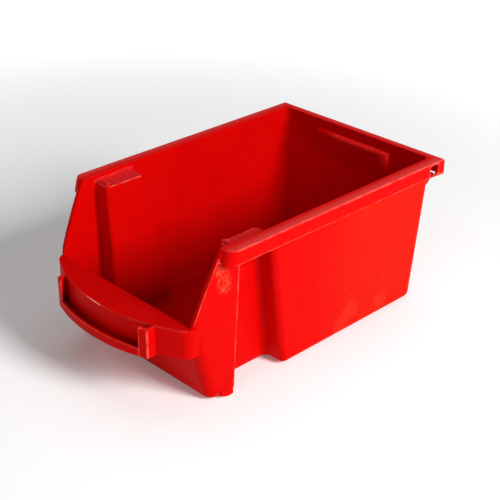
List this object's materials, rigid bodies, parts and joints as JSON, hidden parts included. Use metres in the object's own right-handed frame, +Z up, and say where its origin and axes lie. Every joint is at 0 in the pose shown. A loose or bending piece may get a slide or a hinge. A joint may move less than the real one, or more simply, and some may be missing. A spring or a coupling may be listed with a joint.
{
  "type": "stackable storage bin",
  "caption": "Open-fronted plastic stacking and picking bin with a flanged rim, stacking ledges, side recesses, a curved front grip with a label holder, and a rear hanging lip.",
  "frame": {"origin": "centre of the bounding box's footprint, on the plane the feet stand on", "axes": "+X across the bin to its right side seen from behind, -Y towards the open front and its grip, +Z up to the rim"},
  "size_m": [0.104, 0.17, 0.074],
  "materials": {
    "red_polypropylene": "satin injection-moulded polypropylene, lightly scuffed"
  },
  "bodies": {
    "root": {"floor": "red_polypropylene", "back_wall": "red_polypropylene", "front_wall": "red_polypropylene", "front_flange": "red_polypropylene", "grip_skirt": "red_polypropylene", "label_lip": "red_polypropylene", "rear_hook_panel": "red_polypropylene", "rear_rim": "red_polypropylene", "rear_hanging_lip": "red_polypropylene", "left_side_rim": "red_polypropylene", "right_side_rim": "red_polypropylene", "left_rear_ear": "red_polypropylene", "right_rear_ear": "red_polypropylene", "left_stacking_ledge": "red_polypropylene", "right_stacking_ledge": "red_polypropylene", "left_recess_panel": "red_polypropylene", "right_recess_panel": "red_polypropylene", "left_front_pillar": "red_polypropylene", "right_front_pillar": "red_polypropylene", "left_side_wall": "red_polypropylene", "right_side_wall": "red_polypropylene", "left_label_boss": "red_polypropylene", "right_label_boss": "red_polypropylene", "left_ledge_stop": "red_polypropylene", "right_ledge_stop": "red_polypropylene", "left_front_foot": "red_polypropylene", "right_front_foot": "red_polypropylene", "left_rear_foot": "red_polypropylene", "right_rear_foot": "red_polypropylene"}
  },
  "joints": []
}
